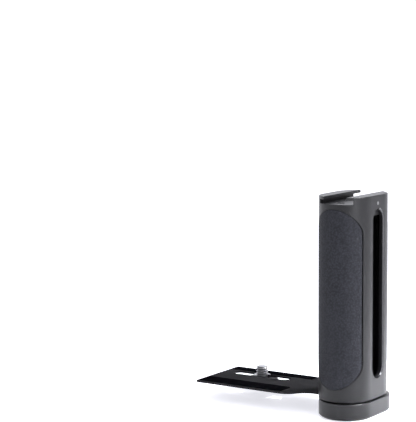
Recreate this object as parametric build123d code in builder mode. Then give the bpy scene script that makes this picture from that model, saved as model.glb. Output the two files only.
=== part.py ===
from build123d import *
import os
from math import acos, cos, sin

# A camera bracket: an upright hand grip with an accessory shoe on top, and a flat arm at its foot
# that carries the camera.
# The origin is the middle of the grip's foot, on its underside. +Z is up, the camera arm runs
# towards -X, the outer side with the long slot faces +X, and the lens side faces -Y.
# Lengths are in millimetres.

# Grip column: a drawn tube of long-oval section, longer front to back than it is wide
grip_height = 112.4           # from the underside of the foot to the top of the column
column_half_straight = 7.1    # half of the straight stretch of the oval's sides
wall = 2.4                    # skin of the drawn tube
web = 1.6                     # lengthwise web behind the side slot, and the ribs of the screw ports
web_x = 3.4                   # middle plane of that web
web_groove_width = 0.5        # fine lengthwise grooves that the drawing die leaves on the web
web_groove_depth = 0.25
web_groove_pitch = 1.5
web_groove_count = 7
port_radius = 3.8             # outside of the round screw ports that run the length of the tube
column_top_edge = 0.4         # broken edge round the column's top

# Foot: the solid base below the column, a little longer and set a little outwards
foot_height = 8.2
foot_side_growth = 0.05       # how far it stands out beside the column
foot_end_growth = 1.6         # and how much farther still in front and behind
foot_shift = 1.1              # towards the outer side
foot_bottom_edge = 1.0        # broken edge
spigot_height = 1.0           # raised middle that centres the column and carries the arm's root
seam_gap = 0.65               # dark line between foot and column, the thickness of the gasket
gasket_inset = 1.6            # how far the gasket lies behind the column's skin

# Side slot for accessories, in the outer skin
slot_width = 10.9
slot_bottom_margin = 10.55    # skin left below the slot and above it
slot_top_margin = 7.2
slot_offset = 0.8             # its centre line lies a little behind the column's axis
slot_edge = 0.6               # bevelled rim

# Pads: rubber skins let into the round front and back
pad_side_margin = 1.3         # skin left beside the pad, seen square on
pad_bottom_margin = 6.25      # and below and above its half-round ends
pad_top_margin = 6.0
pad_recess_depth = 1.2
pad_proud = 0.15              # the pad stands this far out of the skin
pad_gap = 0.3                 # dark line round the pad
pad_tape = 0.2                # sticky tape under each pad, as long as the pad's straight sides
tape_side_margin = 0.5        # pad left bare beside the tape

# Accessory shoe in the top block
shoe_block_height = 10.5
shoe_lip = 1.5                # thickness of the two lips
shoe_height = 2.1             # clear height under the lips
shoe_width = 18.9             # clear width under the lips
shoe_throat = 12.9            # clear width between the lips
shoe_side_wall = 2.1          # of the block, beside the channel
pin_radius = 0.9              # steel cross pin that locks the block, seen on the outer side
pin_drop = 4.0                # the pin's axis, below the top of the column
pin_length = 3.9

# Screws in the column's ports: countersunk ones hold the foot, set screws the shoe block
screw_radius = 2.0
screw_reach = 5.9             # the screws' axes, beyond the oval's straight sides
screw_socket_depth = 1.4
foot_screw_length = 20.0
foot_screw_head_radius = 3.8
foot_screw_head_height = 1.9
foot_screw_socket = 2.5       # across the flats of the hexagon socket
shoe_screw_length = 14.0
shoe_screw_socket = 2.0
shoe_screw_sink = 0.3         # below the floor of the shoe

# Tripod bush in the foot
bush_bore_radius = 3.175      # outer radius of the quarter-inch tripod thread
bush_radius = 5.0
bush_flange_flats = 11.6      # across the flats of its hexagon flange, which keeps it from turning
bush_flange = 1.2
bush_bore_depth = 7.0

# Camera arm: a flat steel sheet
arm_thickness = 1.0
arm_half_width = 20.3
arm_end_x = -83.5
arm_corner = 1.2
shoulder_x = -32.0            # where the wide part starts to narrow
shoulder_radius = 9.0         # outer curve of the shoulder
neck_radius = 12.0            # inner curve towards the neck
neck_half_width = 11.2
camera_slot_near_x = -46.0    # centre of the camera slot's round end near the grip
camera_slot_end_margin = 9.5  # from the other end's centre to the end of the arm
camera_slot_y = 8.65          # the slot lies behind the arm's centre line
camera_slot_width = 6.9

# Ribbed rubber strips bonded to the top of the arm, in front of its slot and behind it
strip_near_x = -31.9
strip_end_margin = 1.4        # sheet left bare beside the strips
strip_side_margin = 1.1
front_strip_width = 9.9
rear_strip_width = 5.7
strip_thickness = 0.6
strip_groove_pitch = 1.6
strip_groove_width = 0.5
strip_groove_depth = 0.25

# Captive camera screw with its folding ring
camera_screw_x = -60.0        # where the screw stands at rest
stud_radius = 3.175           # outer radius of the quarter-inch thread
stud_rise = 4.6               # above the strips, on which the camera stands
stud_point = 0.6
clip_groove_radius = 2.5
clip_thickness = 0.45
clip_radius = 4.5
clip_mouth = 4.0              # narrower than the groove, so that the clip snaps on
head_radius = 8.5
head_height = 4.6
head_edge = 0.6
head_floor = 1.0              # solid bottom of the head, under the stud
knurl_count = 24
knurl_depth = 0.45
knurl_margin = 1.2            # smooth rim below the knurled band
coin_slot_width = 1.6
coin_slot_depth = 0.9
washer_radius = 8.0
washer_thickness = 0.6
ring_width = 1.9
ring_thickness = 2.0
ring_end = 1.6                # straight end of the ring, before its pivot and past it
ring_pin_radius = 0.9         # round ends of the ring, which turn in the head
ring_pivot_drop = 2.9         # the ring's pivot, below the top of the head
ring_grip = 2.6               # how deep each end of the ring sits in the head
ring_gap = 0.5                # between the folded ring and the head

# Clearances
fit = 0.05                    # between pieces that are pushed or screwed together
screw_clearance = 0.2         # round a screw in a plain hole
running = 0.06                # round and between pieces that turn or slide
root_clearance = 0.3          # between the arm's root and the inside of the column
overrun = 1.0                 # cuts run past the faces that they leave

# Places worked out from the sizes above
column_bottom = foot_height + seam_gap
column_length = grip_height - column_bottom
inner_radius = shoe_width / 2 + shoe_side_wall + fit
column_radius = inner_radius + wall
column_reach = column_half_straight + column_radius
web_span = 2 * (column_half_straight + inner_radius) + wall
foot_radius = column_radius + foot_side_growth
foot_half_straight = column_half_straight + foot_end_growth
slot_low = column_bottom + slot_bottom_margin
slot_high = grip_height - slot_top_margin
pad_width = 2 * (column_radius - pad_side_margin)
pad_low = column_bottom + pad_bottom_margin
pad_high = grip_height - pad_top_margin
arm_bottom = foot_height + spigot_height
arm_top = arm_bottom + arm_thickness
strip_top = arm_top + strip_thickness
shoe_floor = grip_height - shoe_lip - shoe_height
block_bottom = grip_height - shoe_block_height
head_top = arm_bottom - running - washer_thickness - running
head_bottom = head_top - head_height
ring_pivot_z = head_top - ring_pivot_drop
ring_inner_radius = head_radius + ring_gap
ring_outer_radius = ring_inner_radius + ring_width
clip_z = arm_top + running
camera_slot_far_x = arm_end_x + camera_slot_end_margin
strip_far_x = arm_end_x + strip_end_margin
strip_outer_y = arm_half_width - strip_side_margin
camera_slot_length = camera_slot_near_x - camera_slot_far_x
camera_slot_x = (camera_slot_near_x + camera_slot_far_x) / 2
strip_length = strip_near_x - strip_far_x
strip_x = (strip_near_x + strip_far_x) / 2
camera_screw_place = (camera_screw_x, camera_slot_y)
screw_y = column_half_straight + screw_reach
screw_places = [(0, -screw_y), (0, screw_y)]
pin_height = grip_height - pin_drop


def long_oval(radius, half_straight=column_half_straight, mode=Mode.ADD):
    """Draws the grip's oval, longer front to back, in the sketch being made."""
    SlotCenterToCenter(2 * half_straight, 2 * radius, rotation=90, mode=mode)


def shoe_section():
    """Draws the section of the shoe's channel, with its floor on the sketch's X axis."""
    Rectangle(shoe_width, shoe_height, align=(Align.CENTER, Align.MIN))
    Rectangle(shoe_throat, shoe_lip + shoe_height + overrun, align=(Align.CENTER, Align.MIN))


def front_skin(window_width, inner, outer):
    """Makes the piece of skin between two ovals that lies in the pads' window at the front."""
    margin = (pad_width - window_width) / 2
    with BuildPart() as skin:
        with BuildSketch(Plane.XZ) as window:
            with Locations((0, (pad_low + pad_high) / 2)):
                SlotOverall(pad_high - pad_low - 2 * margin, window_width, rotation=90)
        extrude(amount=column_reach + overrun)
        with BuildSketch(Plane.XY) as ring:
            long_oval(outer)
            long_oval(inner, mode=Mode.SUBTRACT)
        extrude(amount=grip_height, mode=Mode.INTERSECT)
    return skin.part


def socket_screw(socket_flats, *half_section):
    """Makes a screw that hangs from its top on the origin's plane, from half of its section."""
    with BuildPart() as screw:
        with BuildSketch(Plane.XZ) as profile:
            Polygon(*half_section, align=None)
        revolve(axis=Axis.Z)
        with BuildSketch(Plane.XY) as socket:
            RegularPolygon(socket_flats / 2, 6, major_radius=False)
        extrude(amount=-screw_socket_depth, mode=Mode.SUBTRACT)
    return screw.part


def countersink(depth):
    """Makes the cutter for a foot screw's head and shank, with its mouth on the origin's plane."""
    with BuildPart() as cutter:
        with BuildSketch(Plane.XZ) as profile:
            Polygon(
                (0, overrun),
                (foot_screw_head_radius + fit, overrun),
                (foot_screw_head_radius + fit, 0),
                (screw_radius + screw_clearance, -foot_screw_head_height),
                (screw_radius + screw_clearance, -depth),
                (0, -depth),
                align=None,
            )
        revolve(axis=Axis.Z)
    return cutter.part


def ribbed_strip(width, middle_y):
    """Makes a rubber strip along the arm, with fine grooves along its top."""
    with BuildPart() as strip:
        with BuildSketch(Plane.XY.offset(arm_top)) as outline:
            with Locations((strip_x, middle_y)):
                Rectangle(strip_length, width)
        extrude(amount=strip_thickness)
        with BuildSketch(Plane.XY.offset(strip_top - strip_groove_depth)) as grooves:
            with Locations((strip_x, middle_y)):
                with GridLocations(0, strip_groove_pitch, 1, int(width / strip_groove_pitch)):
                    Rectangle(strip_length + 2 * overrun, strip_groove_width)
        extrude(amount=strip_groove_depth + overrun, mode=Mode.SUBTRACT)
    return strip.part


pad_recess = front_skin(pad_width, column_radius - pad_recess_depth, column_radius + overrun)
foot_screw_cutter = countersink(arm_bottom + overrun)
foot_screw = socket_screw(
    foot_screw_socket,
    (0, 0),
    (foot_screw_head_radius, 0),
    (screw_radius, -foot_screw_head_height),
    (screw_radius, -foot_screw_length),
    (0, -foot_screw_length),
)
shoe_screw = socket_screw(
    shoe_screw_socket,
    (0, 0),
    (screw_radius, 0),
    (screw_radius, -shoe_screw_length),
    (0, -shoe_screw_length),
)


# Grip column, a drawn tube with its web and screw ports, then milled
with BuildPart() as grip_column:
    with BuildSketch(Plane.XY.offset(column_bottom)) as tube_section:
        long_oval(column_radius)
        long_oval(inner_radius, mode=Mode.SUBTRACT)
        with Locations((web_x, 0)):
            Rectangle(web, web_span)
        with Locations(*screw_places):
            Circle(port_radius)
        # A rib joins each port to the skin, and a slit opens each port towards the middle
        Rectangle(web, web_span)
        Rectangle(web, 2 * screw_y, mode=Mode.SUBTRACT)
        with Locations(*screw_places):
            Circle(screw_radius + fit, mode=Mode.SUBTRACT)
        with Locations((web_x + web / 2, 0)):
            with GridLocations(0, web_groove_pitch, 1, web_groove_count):
                Rectangle(2 * web_groove_depth, web_groove_width, mode=Mode.SUBTRACT)
    extrude(amount=column_length)
    top_face = grip_column.faces().sort_by(Axis.Z)[-1]
    chamfer(top_face.outer_wire().edges(), column_top_edge)

    # Seats of the shoe block and of the arm's root, cut back inside the tube
    with BuildSketch(Plane.XY.offset(block_bottom)) as block_seat:
        long_oval(inner_radius)
    extrude(amount=shoe_block_height + overrun, mode=Mode.SUBTRACT)
    with BuildSketch(Plane.XY.offset(column_bottom - overrun)) as root_seat:
        long_oval(inner_radius)
        Rectangle(column_radius + overrun, 2 * (neck_half_width + fit), align=(Align.MAX, Align.CENTER))
    extrude(amount=arm_top - column_bottom + overrun, mode=Mode.SUBTRACT)

    # The shoe's channel runs out through the front and back
    with BuildSketch(Plane.XZ.offset(-column_reach - overrun)) as channel:
        with Locations((0, shoe_floor)):
            shoe_section()
    extrude(amount=2 * (column_reach + overrun), mode=Mode.SUBTRACT)

    # Side slot with its bevelled rim
    with BuildSketch(Plane.YZ.offset(inner_radius - overrun)) as slot:
        with Locations((slot_offset, (slot_low + slot_high) / 2)):
            SlotOverall(slot_high - slot_low, slot_width, rotation=90)
    extrude(amount=wall + 2 * overrun, mode=Mode.SUBTRACT)
    with BuildSketch(Plane.YZ.offset(column_radius)) as slot_rim:
        with Locations((slot_offset, (slot_low + slot_high) / 2)):
            SlotOverall(slot_high - slot_low + 2 * slot_edge, slot_width + 2 * slot_edge, rotation=90)
    extrude(amount=-slot_edge, taper=45, mode=Mode.SUBTRACT)

    # Recesses of the two pads, and the hole of the cross pin
    add(pad_recess, mode=Mode.SUBTRACT)
    add(mirror(pad_recess, about=Plane.XZ, mode=Mode.PRIVATE), mode=Mode.SUBTRACT)
    with BuildSketch(Plane.YZ.offset(inner_radius - overrun)) as pin_hole:
        with Locations((0, pin_height)):
            Circle(pin_radius + fit)
    extrude(amount=wall + 2 * overrun, mode=Mode.SUBTRACT)


# Rubber pads on the round front and back, each on a skin of sticky tape
pad_floor = column_radius - pad_recess_depth
tape_width = pad_width - 2 * pad_gap - 2 * tape_side_margin
with BuildPart() as front_pad_tape:
    with BuildSketch(Plane.XY.offset(pad_low + pad_width / 2)) as tape_section:
        long_oval(pad_floor + pad_tape)
        long_oval(pad_floor, mode=Mode.SUBTRACT)
        Rectangle(tape_width, column_reach, align=(Align.CENTER, Align.MAX), mode=Mode.INTERSECT)
    extrude(amount=pad_high - pad_low - pad_width)

with BuildPart() as front_grip_pad:
    add(front_skin(pad_width - 2 * pad_gap, pad_floor + pad_tape, column_radius + pad_proud))

with BuildPart() as rear_pad_tape:
    mirror(front_pad_tape.part, about=Plane.XZ)

with BuildPart() as rear_grip_pad:
    mirror(front_grip_pad.part, about=Plane.XZ)


# Shoe block, a plug in the top of the column with the accessory channel
with BuildPart() as shoe_block:
    with BuildSketch(Plane.XY.offset(block_bottom)) as plug:
        long_oval(inner_radius - fit)
    extrude(amount=shoe_block_height)
    with BuildSketch(Plane.XZ.offset(-column_reach)) as channel:
        with Locations((0, shoe_floor)):
            shoe_section()
    extrude(amount=2 * column_reach, mode=Mode.SUBTRACT)
    with BuildSketch(Plane.XY.offset(shoe_floor + overrun)) as set_screw_holes:
        with Locations(*screw_places):
            Circle(screw_radius + fit)
    extrude(amount=-(shoe_block_height + 2 * overrun), mode=Mode.SUBTRACT)
    with BuildSketch(Plane.YZ.offset(column_radius + overrun)) as pin_hole:
        with Locations((0, pin_height)):
            Circle(pin_radius + fit)
    extrude(amount=-(pin_length + overrun + fit), mode=Mode.SUBTRACT)

with BuildPart() as shoe_screws:
    with Locations(*[(x, y, shoe_floor - shoe_screw_sink) for x, y in screw_places]):
        add(shoe_screw)

with BuildPart() as shoe_pin:
    with BuildSketch(Plane.YZ.offset(column_radius - pin_length)) as pin:
        with Locations((0, pin_height)):
            Circle(pin_radius)
    extrude(amount=pin_length)


# Foot, with the tripod bush let in from above and two screws from below
with BuildPart() as foot:
    with BuildSketch(Plane.XY) as foot_outline:
        with Locations((foot_shift, 0)):
            long_oval(foot_radius, foot_half_straight)
    extrude(amount=foot_height)
    chamfer(foot.faces().sort_by(Axis.Z)[0].edges(), foot_bottom_edge)
    with BuildSketch(Plane.XY.offset(foot_height)) as spigot:
        long_oval(inner_radius - root_clearance)
    extrude(amount=spigot_height)
    with BuildSketch(Plane.XY.offset(-overrun)) as bush_hole:
        Circle(bush_radius + fit)
    extrude(amount=arm_bottom + 2 * overrun, mode=Mode.SUBTRACT)
    with BuildSketch(Plane.XY.offset(arm_bottom - bush_flange)) as flange_seat:
        RegularPolygon(bush_flange_flats / 2 + fit, 6, major_radius=False)
    extrude(amount=bush_flange + overrun, mode=Mode.SUBTRACT)
    with Locations(*[Location((x, y, 0), (180, 0, 0)) for x, y in screw_places]):
        add(foot_screw_cutter, mode=Mode.SUBTRACT)

with BuildPart() as tripod_bush:
    with BuildSketch(Plane.XY) as bush_body:
        Circle(bush_radius)
    extrude(amount=arm_bottom)
    with BuildSketch(Plane.XY.offset(arm_bottom - bush_flange)) as bush_top:
        RegularPolygon(bush_flange_flats / 2, 6, major_radius=False)
    extrude(amount=bush_flange)
    with BuildSketch(Plane.XY) as bush_bore:
        Circle(bush_bore_radius)
    extrude(amount=bush_bore_depth, mode=Mode.SUBTRACT)

with BuildPart() as foot_screws:
    with Locations(*[Location((x, y, 0), (180, 0, 0)) for x, y in screw_places]):
        add(foot_screw)

# Gasket in the seam between foot and column
with BuildPart() as seam_gasket:
    with BuildSketch(Plane.XY.offset(foot_height)) as gasket_outline:
        long_oval(column_radius - gasket_inset)
        long_oval(inner_radius, mode=Mode.SUBTRACT)
    extrude(amount=seam_gap)


# Camera arm, which narrows to a neck and has its root held under the column
shoulder_drop = arm_half_width - neck_half_width
shoulder_turn = acos(1 - shoulder_drop / (shoulder_radius + neck_radius))
bend_x = shoulder_x + shoulder_radius * sin(shoulder_turn)
bend_y = arm_half_width - shoulder_radius * (1 - cos(shoulder_turn))
neck_x = bend_x + neck_radius * sin(shoulder_turn)

with BuildPart() as camera_arm:
    with BuildSketch(Plane.XY.offset(arm_bottom)) as arm_outline:
        with BuildLine() as half_outline:
            Line((arm_end_x, 0), (arm_end_x, arm_half_width))
            Line((arm_end_x, arm_half_width), (shoulder_x, arm_half_width))
            TangentArc((shoulder_x, arm_half_width), (bend_x, bend_y), tangent=(1, 0))
            TangentArc((bend_x, bend_y), (neck_x, neck_half_width),
                       tangent=(cos(shoulder_turn), -sin(shoulder_turn)))
            Line((neck_x, neck_half_width), (0, neck_half_width))
            Line((0, neck_half_width), (0, 0))
            Line((0, 0), (arm_end_x, 0))
        make_face()
        mirror(about=Plane.XZ)
        fillet(arm_outline.vertices().group_by(Axis.X)[0], arm_corner)
        long_oval(inner_radius - root_clearance)
    extrude(amount=arm_thickness)
    with BuildSketch(Plane.XY.offset(arm_bottom - overrun)) as arm_holes:
        with Locations((camera_slot_x, camera_slot_y)):
            SlotCenterToCenter(camera_slot_length, camera_slot_width)
        with Locations(*screw_places):
            Circle(screw_radius + screw_clearance)
    extrude(amount=arm_thickness + 2 * overrun, mode=Mode.SUBTRACT)

with BuildPart() as front_rubber_strip:
    add(ribbed_strip(front_strip_width, front_strip_width / 2 - strip_outer_y))

with BuildPart() as rear_rubber_strip:
    add(ribbed_strip(rear_strip_width, strip_outer_y - rear_strip_width / 2))


# Camera screw: a knurled head below the arm, and a threaded stud through the slot
with BuildPart() as screw_head:
    with BuildSketch(Plane.XY.offset(head_bottom)) as head_outline:
        with Locations(camera_screw_place):
            Circle(head_radius)
    extrude(amount=head_height)
    chamfer(screw_head.faces().sort_by(Axis.Z)[0].edges(), head_edge)
    with BuildSketch(Plane.XY.offset(head_bottom + knurl_margin)) as knurl:
        with Locations(camera_screw_place):
            with PolarLocations(head_radius, knurl_count):
                RegularPolygon(knurl_depth, 4)
    extrude(amount=head_height, mode=Mode.SUBTRACT)
    with BuildSketch(Plane.XY.offset(head_bottom + head_floor)) as stud_bore:
        with Locations(camera_screw_place):
            Circle(stud_radius + fit)
    extrude(amount=head_height, mode=Mode.SUBTRACT)
    with BuildSketch(Plane.XY.offset(head_bottom - overrun)) as coin_slot:
        with Locations(camera_screw_place):
            Rectangle(2 * head_radius, coin_slot_width)
    extrude(amount=coin_slot_depth + overrun, mode=Mode.SUBTRACT)
    for side in (-1, 1):
        with BuildSketch(Plane.XZ.offset(side * (head_radius + overrun) - camera_slot_y)) as ring_hole:
            with Locations((camera_screw_x, ring_pivot_z)):
                Circle(ring_pin_radius + running)
        extrude(amount=-side * (ring_grip + overrun + running), mode=Mode.SUBTRACT)

with BuildPart() as screw_stud:
    with BuildSketch(Plane.XY.offset(head_bottom + head_floor)) as stud_section:
        with Locations(camera_screw_place):
            Circle(stud_radius)
    extrude(amount=strip_top + stud_rise - head_bottom - head_floor)
    chamfer(screw_stud.faces().sort_by(Axis.Z)[-1].edges(), stud_point)
    with BuildSketch(Plane.XY.offset(clip_z - running)) as clip_groove:
        with Locations(camera_screw_place):
            Circle(stud_radius + overrun)
            Circle(clip_groove_radius, mode=Mode.SUBTRACT)
    extrude(amount=clip_thickness + 2 * running, mode=Mode.SUBTRACT)

with BuildPart() as retaining_clip:
    with BuildSketch(Plane.XY.offset(clip_z)) as clip:
        with Locations(camera_screw_place):
            Circle(clip_radius)
            Circle(clip_groove_radius + fit, mode=Mode.SUBTRACT)
            Rectangle(2 * clip_radius, clip_mouth, align=(Align.MIN, Align.CENTER), mode=Mode.SUBTRACT)
    extrude(amount=clip_thickness)

with BuildPart() as friction_washer:
    with BuildSketch(Plane.XY.offset(head_top + running)) as washer:
        with Locations(camera_screw_place):
            Circle(washer_radius)
            Circle(stud_radius + running, mode=Mode.SUBTRACT)
    extrude(amount=washer_thickness)

with BuildPart() as folding_ring:
    with BuildSketch(Plane.XY.offset(ring_pivot_z)) as ring_outline:
        with Locations(camera_screw_place):
            for radius, mode in ((ring_outer_radius, Mode.ADD), (ring_inner_radius, Mode.SUBTRACT)):
                Rectangle(2 * ring_end, 2 * radius, mode=mode)
                with Locations((-ring_end, 0)):
                    Circle(radius, mode=mode)
            with Locations((ring_end, 0)):
                Rectangle(
                    ring_outer_radius, 2 * ring_outer_radius,
                    align=(Align.MIN, Align.CENTER), mode=Mode.SUBTRACT,
                )
    extrude(amount=ring_thickness / 2, both=True)
    for side in (-1, 1):
        pin_start = side * (ring_inner_radius + ring_width / 2) - camera_slot_y
        with BuildSketch(Plane.XZ.offset(pin_start)) as ring_pin:
            with Locations((camera_screw_x, ring_pivot_z)):
                Circle(ring_pin_radius)
        extrude(amount=-side * (ring_gap + ring_width / 2 + ring_grip))


pieces = {
    "grip_column": grip_column,
    "front_grip_pad": front_grip_pad,
    "front_pad_tape": front_pad_tape,
    "rear_grip_pad": rear_grip_pad,
    "rear_pad_tape": rear_pad_tape,
    "shoe_block": shoe_block,
    "shoe_screws": shoe_screws,
    "shoe_pin": shoe_pin,
    "foot": foot,
    "tripod_bush": tripod_bush,
    "foot_screws": foot_screws,
    "seam_gasket": seam_gasket,
    "camera_arm": camera_arm,
    "front_rubber_strip": front_rubber_strip,
    "rear_rubber_strip": rear_rubber_strip,
    "screw_head": screw_head,
    "screw_stud": screw_stud,
    "retaining_clip": retaining_clip,
    "friction_washer": friction_washer,
    "folding_ring": folding_ring,
}
os.makedirs("parts", exist_ok=True)
for name, piece in pieces.items():
    piece.part.label = name
    export_step(piece.part, f"parts/{name}.step")
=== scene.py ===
from math import asin, cos, pi, radians, sin

import bpy
from mathutils import Matrix, Vector
from mathutils.geometry import tessellate_polygon


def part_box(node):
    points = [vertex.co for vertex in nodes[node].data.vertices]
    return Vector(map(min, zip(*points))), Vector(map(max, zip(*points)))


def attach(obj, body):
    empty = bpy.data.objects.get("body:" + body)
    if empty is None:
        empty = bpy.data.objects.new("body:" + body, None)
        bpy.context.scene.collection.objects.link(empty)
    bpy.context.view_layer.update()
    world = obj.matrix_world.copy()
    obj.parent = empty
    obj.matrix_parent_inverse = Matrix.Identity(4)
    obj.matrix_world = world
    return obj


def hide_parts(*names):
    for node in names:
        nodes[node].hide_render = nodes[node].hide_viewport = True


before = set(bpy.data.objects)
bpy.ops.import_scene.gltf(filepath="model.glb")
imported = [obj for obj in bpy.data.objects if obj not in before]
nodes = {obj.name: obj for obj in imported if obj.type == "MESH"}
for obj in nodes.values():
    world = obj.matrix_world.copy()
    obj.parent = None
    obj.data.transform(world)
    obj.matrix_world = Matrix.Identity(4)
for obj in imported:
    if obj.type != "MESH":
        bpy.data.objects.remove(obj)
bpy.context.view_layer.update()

# Looks of a camera bracket: an upright oval grip with rubber pads, an accessory shoe on top, and a
# flat arm at its foot with a captive camera screw.
# Lengths are in metres, in the frame of the model: +Z up, the arm along -X, the lens side -Y.

MM = 0.001


# Sizes read from the model

column_low, column_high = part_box("grip_column")
pad_low, pad_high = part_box("front_grip_pad")
tape_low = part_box("front_pad_tape")[0]
stud_low, stud_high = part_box("screw_stud")
clip_low, clip_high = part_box("retaining_clip")
gasket_low, gasket_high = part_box("seam_gasket")
foot_low, foot_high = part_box("foot")
foot_screws_low, foot_screws_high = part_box("foot_screws")

column_radius = (column_high.x - column_low.x) / 2
column_half_straight = (column_high.y - column_low.y) / 2 - column_radius
column_axis = Vector((0, 0, 0))
stud_radius = (stud_high.x - stud_low.x) / 2
stud_axis = Vector(((stud_low.x + stud_high.x) / 2, (stud_low.y + stud_high.y) / 2, 0))


# Shader helpers

def new_material(name):
    """Starts a node material and returns it with its tree's nodes, links and main shader."""
    material = bpy.data.materials.new(name)
    material.use_nodes = True
    tree = material.node_tree
    shader = tree.nodes["Principled BSDF"]
    return material, tree.nodes, tree.links, shader


def object_place(tree_nodes, links, stretch=(1, 1, 1)):
    """The place on the object, scaled along the axes, to build patterns on."""
    place = tree_nodes.new("ShaderNodeTexCoord")
    mapping = tree_nodes.new("ShaderNodeMapping")
    mapping.inputs["Scale"].default_value = stretch
    links.new(place.outputs["Object"], mapping.inputs["Vector"])
    return mapping.outputs["Vector"]


def noise(tree_nodes, links, place, size, detail=3.0, roughness=0.55):
    """A noise pattern whose blotches are about the given size."""
    texture = tree_nodes.new("ShaderNodeTexNoise")
    texture.inputs["Scale"].default_value = 1 / size
    texture.inputs["Detail"].default_value = detail
    texture.inputs["Roughness"].default_value = roughness
    links.new(place, texture.inputs["Vector"])
    return texture.outputs["Fac"]


def spread(tree_nodes, links, value, low, high, start=0.3, end=0.7):
    """Maps the stretch of a pattern from start to end to a range of numbers."""
    mapped = tree_nodes.new("ShaderNodeMapRange")
    mapped.inputs["From Min"].default_value = start
    mapped.inputs["From Max"].default_value = end
    mapped.inputs["To Min"].default_value = low
    mapped.inputs["To Max"].default_value = high
    links.new(value, mapped.inputs["Value"])
    return mapped.outputs["Result"]


def between(tree_nodes, links, value, first, second, start=0.3, end=0.7):
    """Mixes two colours by a pattern."""
    ramp = tree_nodes.new("ShaderNodeValToRGB")
    ramp.color_ramp.elements[0].position = start
    ramp.color_ramp.elements[1].position = end
    ramp.color_ramp.elements[0].color = (*first, 1)
    ramp.color_ramp.elements[1].color = (*second, 1)
    links.new(value, ramp.inputs["Fac"])
    return ramp.outputs["Color"]


def bump(tree_nodes, links, height, depth, normal=None):
    """Turns a pattern into relief of the given depth and returns the new normal."""
    relief = tree_nodes.new("ShaderNodeBump")
    relief.inputs["Strength"].default_value = 1.0
    relief.inputs["Distance"].default_value = depth
    links.new(height, relief.inputs["Height"])
    if normal is not None:
        links.new(normal, relief.inputs["Normal"])
    return relief.outputs["Normal"]


def rounded_edges(tree_nodes, radius, samples=6):
    """The surface's normal, with sharp edges rounded by a small radius."""
    rounding = tree_nodes.new("ShaderNodeBevel")
    rounding.samples = samples
    rounding.inputs["Radius"].default_value = radius
    return rounding.outputs["Normal"]


def reach_along(tree_nodes, links, vector, azimuth):
    """How far a vector reaches along a level direction."""
    reach = tree_nodes.new("ShaderNodeVectorMath")
    reach.operation = "DOT_PRODUCT"
    reach.inputs[1].default_value = (cos(azimuth), sin(azimuth), 0)
    links.new(vector, reach.inputs[0])
    return reach.outputs["Value"]


def grained(name, tones, blotch, rough, grain, grain_depth, stretch=(1, 1, 1), metallic=0.0,
            specular=0.5, edge=0.0):
    """A material with two close tones in blotches, a varying roughness and a fine grain.

    Its sharp edges catch the light as if they were rounded by the radius in edge.
    """
    material, tree_nodes, links, shader = new_material(name)
    still = object_place(tree_nodes, links)
    drawn = object_place(tree_nodes, links, stretch)
    blotches = noise(tree_nodes, links, still, blotch)
    fine = noise(tree_nodes, links, drawn, grain, detail=2.0)
    links.new(between(tree_nodes, links, blotches, *tones), shader.inputs["Base Color"])
    links.new(spread(tree_nodes, links, fine, *rough), shader.inputs["Roughness"])
    start = rounded_edges(tree_nodes, edge) if edge else None
    links.new(bump(tree_nodes, links, fine, grain_depth, start), shader.inputs["Normal"])
    shader.inputs["Metallic"].default_value = metallic
    shader.inputs["Specular IOR Level"].default_value = specular
    return material


def pebbled_rubber():
    """Soft rubber with fine pebbles, with painted light on their tops and painted shade in the dips
    between them, and a faint bloom in blotches.
    """
    pebble_size = 0.95 * MM
    pebble_height = 0.05 * MM
    pebble_smoothness = 0.4
    pebble_slope = (0.1, 0.75)
    grain_size = 0.22 * MM
    grain_height = 0.012 * MM
    bloom_size = 6 * MM
    # Painted shade for the dips between the pebbles, and painted light for their tops
    dip_shade_tones = ((0.012, 0.0126, 0.0163), (0.016, 0.0169, 0.0213))
    top_light_tones = ((0.0252, 0.0264, 0.034), (0.031, 0.0326, 0.0418))
    rough = (0.58, 0.76)
    specular = 0.3

    material, tree_nodes, links, shader = new_material("grip_rubber")
    place = object_place(tree_nodes, links)
    pebbles = tree_nodes.new("ShaderNodeTexVoronoi")
    pebbles.feature = "SMOOTH_F1"
    pebbles.inputs["Scale"].default_value = 1 / pebble_size
    pebbles.inputs["Smoothness"].default_value = pebble_smoothness
    links.new(place, pebbles.inputs["Vector"])
    tops = spread(tree_nodes, links, pebbles.outputs["Distance"], 1, 0, *pebble_slope)
    fine = noise(tree_nodes, links, place, grain_size, detail=2.0)
    bloom = noise(tree_nodes, links, place, bloom_size)
    dip_shade_tone = between(tree_nodes, links, bloom, *dip_shade_tones)
    top_light_tone = between(tree_nodes, links, bloom, *top_light_tones)
    # The pebbles' tops get the painted light, and the dips between them the painted shade
    tone = tree_nodes.new("ShaderNodeMix")
    tone.data_type = "RGBA"
    links.new(tops, tone.inputs["Factor"])
    links.new(dip_shade_tone, tone.inputs["A"])
    links.new(top_light_tone, tone.inputs["B"])
    links.new(tone.outputs["Result"], shader.inputs["Base Color"])
    links.new(spread(tree_nodes, links, fine, *rough), shader.inputs["Roughness"])
    pebble_relief = bump(tree_nodes, links, tops, pebble_height)
    links.new(bump(tree_nodes, links, fine, grain_height, pebble_relief), shader.inputs["Normal"])
    shader.inputs["Specular IOR Level"].default_value = specular
    return material


# Materials

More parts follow.
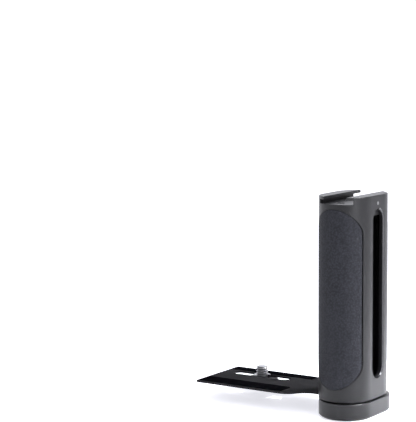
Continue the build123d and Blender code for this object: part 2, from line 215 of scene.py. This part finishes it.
pad_rubber = pebbled_rubber()
grip_metal = grained(
    "anodised_grip", tones=((0.013, 0.013, 0.014), (0.017, 0.017, 0.018)), blotch=9 * MM,
    rough=(0.34, 0.42), grain=0.25 * MM, grain_depth=0.004 * MM, stretch=(1, 1, 0.02),
    specular=0.4, edge=0.3 * MM)
foot_finish = {
    "tones": ((0.011, 0.011, 0.012), (0.0145, 0.0145, 0.0155)), "blotch": 7 * MM,
    "rough": (0.28, 0.34), "grain": 0.2 * MM, "grain_depth": 0.004 * MM,
}
foot_metal = grained("anodised_foot", **foot_finish, specular=0.4, edge=0.2 * MM)
rubbed_rim = grained("rubbed_rim", **foot_finish, specular=0.9)
shoe_metal = grained(
    "milled_shoe", tones=((0.014, 0.014, 0.015), (0.02, 0.02, 0.021)), blotch=4 * MM,
    rough=(0.32, 0.42), grain=0.2 * MM, grain_depth=0.004 * MM, stretch=(1, 0.03, 1),
    specular=0.4, edge=0.18 * MM)
strip_rubber = grained(
    "strip_rubber", tones=((0.003, 0.003, 0.004), (0.005, 0.005, 0.006)), blotch=5 * MM,
    rough=(0.7, 0.85), grain=0.3 * MM, grain_depth=0.01 * MM, specular=0.0)
gasket_rubber = grained(
    "gasket_rubber", tones=((0.003, 0.003, 0.003), (0.006, 0.006, 0.006)), blotch=4 * MM,
    rough=(0.6, 0.8), grain=0.3 * MM, grain_depth=0.01 * MM, specular=0.15)
foam_tape = grained(
    "foam_tape", tones=((0.006, 0.006, 0.006), (0.01, 0.01, 0.01)), blotch=2 * MM,
    rough=(0.7, 0.9), grain=0.2 * MM, grain_depth=0.02 * MM, specular=0.1)
arm_coat = grained(
    "coated_arm", tones=((0.026, 0.026, 0.027), (0.031, 0.031, 0.032)), blotch=8 * MM,
    rough=(0.6, 0.7), grain=0.35 * MM, grain_depth=0.01 * MM, specular=0.0, edge=0.2 * MM)
black_steel = grained(
    "black_steel", tones=((0.018, 0.018, 0.018), (0.028, 0.028, 0.028)), blotch=2 * MM,
    rough=(0.35, 0.5), grain=0.2 * MM, grain_depth=0.005 * MM, metallic=0.6)
bare_steel = grained(
    "bare_steel", tones=((0.28, 0.28, 0.285), (0.36, 0.36, 0.365)), blotch=2 * MM,
    rough=(0.28, 0.4), grain=0.15 * MM, grain_depth=0.003 * MM, metallic=1.0)
pin_steel = grained(
    "pin_steel", tones=((0.32, 0.32, 0.325), (0.42, 0.42, 0.425)), blotch=1 * MM,
    rough=(0.4, 0.5), grain=0.15 * MM, grain_depth=0.003 * MM, metallic=1.0)
cut_metal = grained(
    "cut_bevel", tones=((0.064, 0.064, 0.066), (0.077, 0.077, 0.08)), blotch=2 * MM,
    rough=(0.24, 0.29), grain=0.15 * MM, grain_depth=0.002 * MM, metallic=1.0)
head_metal = grained(
    "knurled_head", tones=((0.02, 0.02, 0.022), (0.03, 0.03, 0.032)), blotch=3 * MM,
    rough=(0.32, 0.42), grain=0.2 * MM, grain_depth=0.004 * MM, metallic=0.5)
nylon = grained(
    "black_nylon", tones=((0.01, 0.01, 0.01), (0.016, 0.016, 0.016)), blotch=2 * MM,
    rough=(0.4, 0.55), grain=0.3 * MM, grain_depth=0.004 * MM, specular=0.4)

node_materials = {
    "grip_column": grip_metal,
    "foot": foot_metal,
    "shoe_block": shoe_metal,
    "shoe_screws": black_steel,
    "foot_screws": black_steel,
    "shoe_pin": pin_steel,
    "tripod_bush": bare_steel,
    "front_pad_tape": foam_tape,
    "rear_pad_tape": foam_tape,
    "front_grip_pad": pad_rubber,
    "rear_grip_pad": pad_rubber,
    "front_rubber_strip": strip_rubber,
    "rear_rubber_strip": strip_rubber,
    "seam_gasket": gasket_rubber,
    "camera_arm": arm_coat,
    "screw_head": head_metal,
    "screw_stud": bare_steel,
    "retaining_clip": bare_steel,
    "friction_washer": nylon,
    "folding_ring": bare_steel,
}
for node, material in node_materials.items():
    nodes[node].data.materials.clear()
    nodes[node].data.materials.append(material)


# Mesh helpers

circle_points = 72
oval_round_points = 48
oval_straight_points = 8


def make_piece(name, points, faces, material, body, replaced=(), sharp_angle=40):
    """Makes a mesh piece that rides on a body and may stand for nodes of the model."""
    mesh = bpy.data.meshes.new(name)
    mesh.from_pydata([tuple(point) for point in points], [], faces)
    mesh.validate()
    mesh.materials.append(material)
    mesh.shade_smooth()
    mesh.set_sharp_from_angle(angle=radians(sharp_angle))
    piece = bpy.data.objects.new(name, mesh)
    bpy.context.scene.collection.objects.link(piece)
    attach(piece, body)
    if replaced:
        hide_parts(*replaced)
    return piece


def joined_rings(rings, wrapped=False):
    """Faces between rings of equally many points, and from the last ring to the first if wrapped."""
    count = len(rings[0])
    faces = []
    for ring in range(len(rings) if wrapped else len(rings) - 1):
        beyond = (ring + 1) % len(rings)
        for index in range(count):
            following = (index + 1) % count
            faces.append((
                ring * count + index,
                ring * count + following,
                beyond * count + following,
                beyond * count + index,
            ))
    return faces


def turned(faces):
    """The faces with their other side out."""
    return [tuple(reversed(face)) for face in faces]


def flat(rings):
    """The points of all rings in one list."""
    return [point for ring in rings for point in ring]


def plain_ring(axis, radius, z):
    """Points round a circle."""
    ring = []
    for index in range(circle_points):
        turn = 2 * pi * index / circle_points
        ring.append(Vector((axis.x + radius * cos(turn), axis.y + radius * sin(turn), z)))
    return ring


def hexagon_ring(half_flats, z):
    """Points round a hexagon on the column's axis, at the same turns as a circle's, a corner on +X."""
    sector = pi / 3
    ring = []
    for index in range(circle_points):
        turn = 2 * pi * index / circle_points
        radius = half_flats / cos(turn % sector - sector / 2)
        ring.append(Vector((radius * cos(turn), radius * sin(turn), z)))
    return ring


def oval_ring(radius, half_straight, middle, z):
    """Points round a long oval, at matching places for every size."""
    ring = []
    for side in (1, -1):
        for index in range(oval_round_points):
            turn = pi * index / oval_round_points
            x = middle + side * radius * cos(turn)
            y = side * (half_straight + radius * sin(turn))
            ring.append(Vector((x, y, z)))
        for index in range(oval_straight_points):
            y = side * half_straight * (1 - 2 * index / oval_straight_points)
            ring.append(Vector((middle - side * radius, y, z)))
    return ring


def cap(points, loops, up):
    """Triangles that close a flat face with holes, given by its outlines, and face up or down."""
    corners = [index for loop in loops for index in loop]
    faces = []
    for triangle in tessellate_polygon([[points[index] for index in loop] for loop in loops]):
        a, b, c = (corners[index] for index in triangle)
        turned_up = (points[b] - points[a]).cross(points[c] - points[a]).z > 0
        faces.append((a, b, c) if turned_up == up else (a, c, b))
    return faces


# Grip pads, a rounded rubber skin each, with a fine diamond relief

pad_gap_fill = 0.2 * MM
pad_half_width = (pad_high.x - pad_low.x) / 2 + pad_gap_fill
pad_top_radius = -pad_low.y - column_half_straight
pad_floor_radius = -tape_low.y - column_half_straight
pad_edge_round = 0.2 * MM
pad_edge_steps = 4
pad_step = 0.27 * MM
relief_pitch = 1.35 * MM
relief_depth = 0.06 * MM
relief_slant = 0.6
relief_start_layers = 3


def pad_outline(radius):
    """Points (x, z) round a strip with half-round ends, about a step apart on the pad's edge."""
    low_centre = pad_low.z - pad_gap_fill + pad_half_width
    high_centre = pad_high.z + pad_gap_fill - pad_half_width
    around = round(pi * pad_half_width / pad_step)
    along = round((high_centre - low_centre) / pad_step)
    outline = []
    for index in range(around):
        turn = pi * index / around
        outline.append((radius * cos(turn), high_centre + radius * sin(turn)))
    for index in range(along):
        outline.append((-radius, high_centre + (low_centre - high_centre) * index / along))
    for index in range(around):
        turn = pi + pi * index / around
        outline.append((radius * cos(turn), low_centre + radius * sin(turn)))
    for index in range(along):
        outline.append((radius, low_centre + (high_centre - low_centre) * index / along))
    return outline


def on_pad(side, across, height, radius):
    """The point of the pad at a distance across the front, at a radius from the round's axis."""
    turn = asin(across / pad_top_radius)
    return Vector((radius * sin(turn), side * (column_half_straight + radius * cos(turn)), height))


def diamond_relief(across, height):
    """Height of the fine diamond pattern, from 0 to 1."""
    arc = pad_top_radius * asin(across / pad_top_radius)
    first = cos(2 * pi * (arc + height * relief_slant) / relief_pitch)
    second = cos(2 * pi * (arc - height * relief_slant) / relief_pitch)
    return (2 + first + second) / 4


def make_pad(name, side, node):
    """A skin from the tape's level up, over a rounded rim and across the relief to a middle line."""
    rings = [[on_pad(side, x, z, pad_floor_radius) for x, z in pad_outline(pad_half_width)]]
    for index in range(pad_edge_steps + 1):
        turn = pi / 2 * index / pad_edge_steps
        inset = pad_edge_round * (1 - cos(turn))
        radius = pad_top_radius - relief_depth - pad_edge_round * (1 - sin(turn))
        rings.append([on_pad(side, x, z, radius) for x, z in pad_outline(pad_half_width - inset)])
    inner = pad_half_width - pad_edge_round
    layers = round(inner / pad_step)
    for layer in range(1, layers + 1):
        reach = inner * (1 - layer / layers)
        blend = min(1, layer / relief_start_layers)
        ring = []
        for x, z in pad_outline(reach):
            radius = pad_top_radius - relief_depth * (1 - blend * diamond_relief(x, z))
            ring.append(on_pad(side, x, z, radius))
        rings.append(ring)
    faces = joined_rings(rings)
    if side > 0:
        faces = turned(faces)
    return make_piece(name, flat(rings), faces, pad_rubber, "grip", (node,),
                      sharp_angle=60)


make_pad("front_pad_skin", -1, "front_grip_pad")
make_pad("rear_pad_skin", 1, "rear_grip_pad")


# Ribbed strips on the arm

strip_edge = 0.12 * MM
strip_spans = 24
rib_pitch = 0.82 * MM
rib_depth = 0.22 * MM
rib_points = 8

# How far in from the end, and how far down, both in widths of the edge
strip_end_profile = ((0, 1.0), (1, 0.3), (3, 0.0))


def make_strip(name, node):
    """A strip with rounded lengthwise ribs and softened ends."""
    low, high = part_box(node)
    width = high.y - low.y
    ribs = round((width - 2 * strip_edge) / rib_pitch)
    section = [(low.y, low.z), (low.y, high.z - rib_depth)]
    for index in range(ribs * rib_points + 1):
        share = index / (ribs * rib_points)
        y = low.y + strip_edge + (width - 2 * strip_edge) * share
        z = high.z - rib_depth * (1 - abs(sin(pi * ribs * share)))
        section.append((y, z))
    section += [(high.y, high.z - rib_depth), (high.y, low.z)]
    near_end = [(low.x + reach * strip_edge, drop) for reach, drop in strip_end_profile]
    far_end = [(high.x - reach * strip_edge, drop) for reach, drop in reversed(strip_end_profile)]
    inner_low, inner_high = near_end[-1][0], far_end[0][0]
    middle = []
    for index in range(1, strip_spans):
        middle.append((inner_low + (inner_high - inner_low) * index / strip_spans, 0.0))
    rings = []
    for x, drop in near_end + middle + far_end:
        rings.append([Vector((x, y, z - drop * strip_edge if z > low.z else z)) for y, z in section])
    count = len(section)
    faces = turned(joined_rings(rings))
    faces.append(tuple(range(count)))
    faces.append(tuple(reversed(range((len(rings) - 1) * count, len(rings) * count))))
    return make_piece(name, flat(rings), faces, strip_rubber, "grip", (node,),
                      sharp_angle=50)


make_strip("front_strip_ribbed", "front_rubber_strip")
make_strip("rear_strip_ribbed", "rear_rubber_strip")


# Gasket in the seam, a rounded rubber ring

gasket_section_points = 14


def make_gasket():
    """A ring as wide as the solid gasket, with a round section as thick as it."""
    section_radius = (gasket_high.z - gasket_low.z) / 2
    middle_radius = (gasket_high.x - gasket_low.x) / 2 - section_radius
    level = (gasket_low.z + gasket_high.z) / 2
    rings = []
    for index in range(gasket_section_points):
        turn = 2 * pi * index / gasket_section_points
        radius = middle_radius + section_radius * cos(turn)
        rings.append(oval_ring(radius, column_half_straight, 0, level + section_radius * sin(turn)))
    return make_piece("seam_ring", flat(rings), joined_rings(rings, wrapped=True), gasket_rubber,
                      "grip", ("seam_gasket",), sharp_angle=60)


make_gasket()


# Bevel of the side slot, cut through the finish

# The slot has the sizes of the part's source, which the model's boxes don't give.
slot_half_width = 5.45 * MM
slot_middle = 0.8 * MM
slot_low_margin = 10.55 * MM
slot_high_margin = 7.2 * MM
slot_bevel = 0.6 * MM
slot_bevel_angle = radians(45)
bevel_proud = 0.015 * MM
bevel_depth = 0.05 * MM


def make_slot_bevel():
    """A thin bare ring that covers the bevel and stands just proud of it."""
    low = column_low.z + slot_low_margin
    high = column_high.z - slot_high_margin
    half_straight = (high - low) / 2 - slot_half_width
    proud = bevel_proud * sin(slot_bevel_angle)
    deep = bevel_depth * sin(slot_bevel_angle)
    section = (
        (slot_bevel - 2 * proud, -proud),
        (-proud, proud - slot_bevel),
        (deep, -slot_bevel - deep),
        (slot_bevel + deep, -deep),
    )
    rings = []
    for across, outwards in section:
        x = column_radius + outwards
        upright = oval_ring(slot_half_width + across, half_straight, slot_middle, 0)
        rings.append([Vector((x, point.x, (low + high) / 2 + point.y)) for point in upright])
    return make_piece("slot_bevel", flat(rings), joined_rings(rings, wrapped=True), cut_metal,
                      "grip", sharp_angle=30)


make_slot_bevel()


# Foot, with a rounded rim that catches the light, and its holes seen from below

foot_rim_round = 0.5 * MM
foot_rim_rise = 0.17 * MM
foot_rim_steps = 8
foot_rim_flat = 0.08 * MM

# The rest has the sizes of the part's source, which the model's boxes don't give.
foot_bottom_edge = 1.0 * MM
spigot_radius = 11.3 * MM
bush_hole_radius = 5.05 * MM
flange_half_flats = 5.85 * MM
flange_floor = 8.0 * MM
foot_screw_mouth = 3.85 * MM
foot_screw_shank = 2.2 * MM
foot_screw_depth = 1.9 * MM


def foot_outer_rings():
    """The foot's outside from its bottom to the spigot's top, and where the rim's rings start and end.

    A short flat on both sides of the rim keeps its shading apart from that of the walls.
    """
    radius = (foot_high.x - foot_low.x) / 2
    half_straight = (foot_high.y - foot_low.y) / 2 - radius
    middle = (foot_low.x + foot_high.x) / 2
    top = gasket_low.z
    rim_top = top + foot_rim_rise

    def outline(inset, z):
        return oval_ring(radius - inset, half_straight, middle, z)

    rings = [
        outline(foot_bottom_edge, 0),
        outline(0, foot_bottom_edge),
        outline(0, top - foot_rim_round - foot_rim_flat),
    ]
    rim_start = len(rings)
    for index in range(foot_rim_steps + 1):
        turn = pi / 2 * index / foot_rim_steps
        inset = foot_rim_round * (1 - cos(turn))
        rings.append(outline(inset, rim_top - foot_rim_round * (1 - sin(turn))))
    rim_end = len(rings)
    rings += [
        outline(foot_rim_round + foot_rim_flat, rim_top),
        outline(foot_rim_round + foot_rim_flat + 2 * foot_rim_rise, top),
        oval_ring(spigot_radius, column_half_straight, 0, top),
        oval_ring(spigot_radius, column_half_straight, 0, foot_high.z),
    ]
    return rings, rim_start, rim_end


def foot_hole_rings():
    """The walls of the bush's hole and of the two screw holes, each from the bottom up."""
    holes = [[
        plain_ring(column_axis, bush_hole_radius, 0),
        plain_ring(column_axis, bush_hole_radius, flange_floor),
        hexagon_ring(flange_half_flats, flange_floor),
        hexagon_ring(flange_half_flats, foot_high.z),
    ]]
    screw_y = foot_screws_high.y - (foot_screws_high.x - foot_screws_low.x) / 2
    for side in (1, -1):
        screw_axis = Vector((0, side * screw_y, 0))
        holes.append([
            plain_ring(screw_axis, foot_screw_mouth, 0),
            plain_ring(screw_axis, foot_screw_shank, foot_screw_depth),
            plain_ring(screw_axis, foot_screw_shank, foot_high.z),
        ])
    return holes


def make_foot():
    """The foot's outside and holes, closed by flat faces at the bottom and on the spigot."""
    outer, rim_start, rim_end = foot_outer_rings()
    points, faces, low_loops, high_loops = [], [], [], []
    for rings in [outer] + foot_hole_rings():
        start = len(points)
        points += flat(rings)
        moved = [tuple(start + index for index in face) for face in joined_rings(rings)]
        faces += moved if rings is outer else turned(moved)
        count = len(rings[0])
        low_loops.append(list(range(start, start + count)))
        high_loops.append(list(range(len(points) - count, len(points))))
    faces += cap(points, low_loops, False)
    faces += cap(points, high_loops, True)
    piece = make_piece("foot_shell", points, faces, foot_metal, "grip", ("foot",))
    piece.data.materials.append(rubbed_rim)
    per_ring = len(outer[0])
    for index in range(rim_start * per_ring, rim_end * per_ring):
        piece.data.polygons[index].material_index = 1
    return piece


make_foot()


# Threads, with the pitch of a quarter-inch camera thread

inch = 25.4 * MM
threads_per_inch = 20
thread_pitch = inch / threads_per_inch
thread_depth = 0.55 * MM
thread_flank_share = 0.4
thread_crest_share = 0.1


def thread_wave(share):
    """The thread's profile along one pitch: 1 on the crest, 0 in the root."""
    share = share % 1
    if share < thread_flank_share:
        return share / thread_flank_share
    if share < thread_flank_share + thread_crest_share:
        return 1
    if share < 2 * thread_flank_share + thread_crest_share:
        return 1 - (share - thread_flank_share - thread_crest_share) / thread_flank_share
    return 0


def thread_rings(axis, low, high, radius_of, steps):
    """Rings of points up a threaded wall, whose radius follows the turn and the height."""
    rings = []
    for step in range(steps + 1):
        z = low + (high - low) * step / steps
        ring = []
        for index in range(circle_points):
            turn = 2 * pi * index / circle_points
            radius = radius_of(z, z / thread_pitch - index / circle_points)
            ring.append(Vector((axis.x + radius * cos(turn), axis.y + radius * sin(turn), z)))
        rings.append(ring)
    return rings


stud_neck_depth = 0.675 * MM
stud_point = 0.6 * MM
stud_run_in = 0.4 * MM
stud_thread_steps = 64
groove_clearance = 0.06 * MM


def make_stud():
    """The camera screw's stud: a plain foot, the clip's groove, and the thread with its point."""
    neck_radius = stud_radius - stud_neck_depth
    groove_low = clip_low.z - groove_clearance
    groove_high = clip_high.z + groove_clearance
    rings = [
        plain_ring(stud_axis, 0, stud_low.z),
        plain_ring(stud_axis, stud_radius, stud_low.z),
        plain_ring(stud_axis, stud_radius, groove_low),
        plain_ring(stud_axis, neck_radius, groove_low),
        plain_ring(stud_axis, neck_radius, groove_high),
    ]

    def wall(z, share):
        run_in = min(1, (z - groove_high) / stud_run_in)
        root = stud_radius - thread_depth
        past_point = max(0, z - stud_high.z + stud_point)
        depth = max(0, stud_radius - past_point - root)
        return root + depth * (1 - run_in + run_in * thread_wave(share))

    rings += thread_rings(stud_axis, groove_high, stud_high.z, wall, stud_thread_steps)
    rings.append(plain_ring(stud_axis, 0, stud_high.z))
    return make_piece("threaded_stud", flat(rings), joined_rings(rings), bare_steel,
                      "camera_screw", ("screw_stud",), sharp_angle=35)


make_stud()


bush_bore_radius = 3.175 * MM
bush_bore_margin = 0.01 * MM
bush_thread_low = 0.35 * MM
bush_thread_high = 6.9 * MM
bush_thread_fade = 0.6 * MM
bush_thread_steps = 80


def make_bush_thread():
    """The thread inside the tripod socket, which fades out at both ends."""

    def wall(z, share):
        from_end = min(z - bush_thread_low, bush_thread_high - z)
        fade = min(1, from_end / bush_thread_fade)
        return bush_bore_radius - bush_bore_margin - thread_depth * max(0, fade) * thread_wave(share)

    rings = thread_rings(column_axis, bush_thread_low, bush_thread_high, wall, bush_thread_steps)
    return make_piece("bush_thread", flat(rings), turned(joined_rings(rings)), bare_steel,
                      "grip", sharp_angle=35)


make_bush_thread()


# Floor

# All the light is a little blue, as the photograph's is.
daylight = (0.97, 0.975, 1.04)

floor_half = 4.0
floor_tone = 0.9
floor_roughness = 0.9

# The floor's own glow falls to a weaker one between two reaches towards the dim side.
floor_glow = 0.68
far_glow = 0.15
glow_reach = (0.25, 0.8)
dim_side = radians(29)

# In a wedge of the floor in front, the glow is weaker, most so along its middle.
wedge_side = radians(-72)
wedge_half_angle = radians(37)
wedge_dimming = 0.7


def make_floor():
    """A pale floor that glows a little, less to the right and in a wedge in front."""
    corners = [(x * floor_half, y * floor_half, 0) for x, y in ((-1, -1), (1, -1), (1, 1), (-1, 1))]
    mesh = bpy.data.meshes.new("floor")
    mesh.from_pydata(corners, [], [(0, 1, 2, 3)])
    material, tree_nodes, links, shader = new_material("floor_paint")
    shader.inputs["Base Color"].default_value = (floor_tone, floor_tone, floor_tone, 1)
    shader.inputs["Roughness"].default_value = floor_roughness
    shader.inputs["Emission Color"].default_value = (*daylight, 1)
    place = object_place(tree_nodes, links)
    sideways = reach_along(tree_nodes, links, place, dim_side)
    glow = spread(tree_nodes, links, sideways, floor_glow, far_glow, *glow_reach)
    heading = tree_nodes.new("ShaderNodeVectorMath")
    heading.operation = "NORMALIZE"
    links.new(place, heading.inputs[0])
    forwards = reach_along(tree_nodes, links, heading.outputs["Vector"], wedge_side)
    wedge = spread(tree_nodes, links, forwards, 1, 1 - wedge_dimming, cos(wedge_half_angle), 1)
    total = tree_nodes.new("ShaderNodeMath")
    total.operation = "MULTIPLY"
    links.new(glow, total.inputs[0])
    links.new(wedge, total.inputs[1])
    links.new(total.outputs["Value"], shader.inputs["Emission Strength"])
    mesh.materials.append(material)
    floor = bpy.data.objects.new("floor", mesh)
    bpy.context.scene.collection.objects.link(floor)


make_floor()


# Light

# The sky rises from its level at the sides to its level behind the object between two reaches
# towards the back side, and the zenith adds some more.
side_level = 0.2
back_level = 1.25
zenith_level = 0.5
back_side = radians(127)
back_reach = (0.7, 0.93)

lamps = {
    "back_strip": {
        "place": (-1.3, 1.2, 1.1), "target": (-1.3, 1.2, 0), "width": 2.4, "height": 1.2, "power": 10,
    },
    "floor_pool": {
        "place": (0.2, 0.35, 0.9), "target": (0.045, 0.08, 0), "width": 0.15, "height": 0.15,
        "power": 0.33, "beam": 21,
    },
    "right_card": {
        "place": (0.75, -0.35, 0.35), "target": (0, 0, 0.06), "width": 0.35, "height": 0.7, "power": 3,
    },
    "key": {
        "place": (0.72, 0.15, 0.72), "target": (0, 0, 0.05), "width": 0.2, "height": 0.2, "power": 5.5,
    },
}


def make_world():
    """Dim light all round, with a white backdrop behind the object and a lighter sky."""
    world = bpy.data.worlds.new("studio")
    bpy.context.scene.world = world
    world.use_nodes = True
    tree_nodes, links = world.node_tree.nodes, world.node_tree.links
    background = tree_nodes["Background"]
    direction = tree_nodes.new("ShaderNodeTexCoord")
    parts = tree_nodes.new("ShaderNodeSeparateXYZ")
    links.new(direction.outputs["Generated"], parts.inputs["Vector"])
    backwards = reach_along(tree_nodes, links, direction.outputs["Generated"], back_side)
    sides = spread(tree_nodes, links, backwards, side_level, back_level, *back_reach)
    above = spread(tree_nodes, links, parts.outputs["Z"], 0, zenith_level, 0, 1)
    total = tree_nodes.new("ShaderNodeMath")
    links.new(sides, total.inputs[0])
    links.new(above, total.inputs[1])
    background.inputs["Color"].default_value = (*daylight, 1)
    links.new(total.outputs["Value"], background.inputs["Strength"])


def make_lamp(name, place, target, width, height, power, beam=180):
    """A flat lamp that faces its target, with its beam's angle in degrees."""
    light = bpy.data.lights.new(name, "AREA")
    light.spread = radians(beam)
    light.shape = "RECTANGLE"
    light.size = width
    light.size_y = height
    light.energy = power
    light.color = daylight
    lamp = bpy.data.objects.new(name, light)
    lamp.location = place
    lamp.rotation_euler = (Vector(target) - Vector(place)).to_track_quat("-Z", "Y").to_euler()
    bpy.context.scene.collection.objects.link(lamp)
    return lamp


make_world()
for name, settings in lamps.items():
    make_lamp(name, **settings)


# Camera

# The photograph's viewpoint was found from the edges of the object in it. Its angles are in radians.
camera_place = Vector((394.16 * MM, -722.17 * MM, 198.57 * MM))
camera_yaw = 0.5893
camera_pitch = 0.1149
camera_roll = -0.0060
focal_pixels = 1628.2
long_side_pixels = 422
sensor_width = 36.0
nearest_seen = 0.01
farthest_seen = 50


def make_camera():
    """Turned left by the yaw, down by the pitch and then about its own axis by the roll."""
    forward = Vector((
        -sin(camera_yaw) * cos(camera_pitch),
        cos(camera_yaw) * cos(camera_pitch),
        -sin(camera_pitch),
    ))
    level = forward.cross(Vector((0, 0, 1))).normalized()
    upright = level.cross(forward)
    right = cos(camera_roll) * level + sin(camera_roll) * upright
    up = -sin(camera_roll) * level + cos(camera_roll) * upright
    data = bpy.data.cameras.new("camera")
    data.sensor_width = sensor_width
    data.lens = sensor_width * focal_pixels / long_side_pixels
    data.clip_start = nearest_seen
    data.clip_end = farthest_seen
    camera = bpy.data.objects.new("camera", data)
    camera.matrix_world = Matrix((
        (right.x, up.x, -forward.x, camera_place.x),
        (right.y, up.y, -forward.y, camera_place.y),
        (right.z, up.z, -forward.z, camera_place.z),
        (0, 0, 0, 1),
    ))
    bpy.context.scene.collection.objects.link(camera)
    bpy.context.scene.camera = camera


make_camera()
bpy.context.scene.view_settings.view_transform = "Standard"
